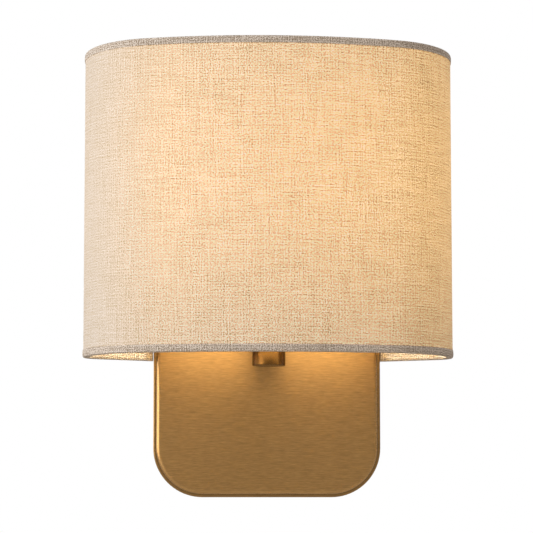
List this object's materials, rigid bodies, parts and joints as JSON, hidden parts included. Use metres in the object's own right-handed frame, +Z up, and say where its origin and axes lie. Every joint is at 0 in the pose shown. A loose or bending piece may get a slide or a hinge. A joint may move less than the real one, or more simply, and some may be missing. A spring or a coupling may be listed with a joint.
{
  "type": "fabric shade wall light",
  "caption": "Wall light with an oval linen shade, open at its back, over a brushed brass wall cover with round corners, lit by a slim screw-cap bulb.",
  "frame": {"origin": "on the wall, where the axis of the arm meets it, midway between the strap's two slots", "axes": "+Z up, +Y into the wall, +X to the right as seen from in front"},
  "size_m": [0.2408, 0.1074, 0.289],
  "materials": {
    "brass": "brushed, lacquered",
    "zinc_steel": "zinc plated",
    "block_plastic": "moulded",
    "live_sleeve": "brown sleeve",
    "neutral_sleeve": "blue sleeve",
    "earth_sleeve": "green and yellow sleeve",
    "holder_plastic": "moulded",
    "contact_brass": "pressed",
    "cap_nickel": "nickel plated",
    "cap_insulator": "black glass",
    "bulb_glass": "clear",
    "stem_glass": "clear",
    "filament": "glowing phosphor",
    "filament_wire": "drawn",
    "frame_white": "powder coat",
    "liner": "laminated backing",
    "linen": "slubbed linen",
    "hem_tape": "rolled linen tape"
  },
  "bodies": {
    "wall_mount": {"wall_plate": "brass", "wall_bracket": "zinc_steel", "plate_screws": "zinc_steel", "earth_screw": "zinc_steel", "earth_lug": "zinc_steel", "terminal_block": "block_plastic", "terminal_screws": "zinc_steel", "live_lead": "live_sleeve", "neutral_lead": "neutral_sleeve", "earth_lead": "earth_sleeve", "arm_tube": "brass", "arm_washer": "zinc_steel", "arm_locknut": "zinc_steel", "socket_cup": "brass", "cup_lid": "brass", "threaded_nipple": "zinc_steel", "nipple_locknut": "zinc_steel", "holder_base": "holder_plastic", "holder_core": "holder_plastic", "holder_body": "holder_plastic", "screw_shell": "contact_brass", "centre_contact": "contact_brass"},
    "bulb": {"bulb_cap": "cap_nickel", "bulb_contact": "contact_brass", "bulb_insulator": "cap_insulator", "bulb_glass": "bulb_glass", "bulb_stem": "stem_glass", "led_filaments": "filament", "filament_wires": "filament_wire"},
    "shade": {"fitter_ring": "frame_white", "fitter_arms": "frame_white", "top_wire": "frame_white", "bottom_wire": "frame_white", "back_wire": "frame_white", "end_struts": "frame_white", "shade_liner": "liner", "shade_fabric": "linen", "top_hem": "hem_tape", "bottom_hem": "hem_tape", "end_hems": "hem_tape"},
    "shade_ring": {"shade_ring": "holder_plastic"}
  },
  "joints": [
    {"name": "shade_lift", "type": "slide", "parent": "wall_mount", "child": "shade", "axis": [0, 0, 1], "range_m": [0, 0.15]},
    {"name": "ring_turn", "type": "hinge", "parent": "shade", "child": "shade_ring", "pos_m": [0, -0.052, 0.046], "axis": [0, 0, 1], "range_deg": [0, 1080]},
    {"name": "bulb_turn", "type": "hinge", "parent": "wall_mount", "child": "bulb", "pos_m": [0, -0.052, 0.06], "axis": [0, 0, 1], "range_deg": [0, 1080]}
  ]
}
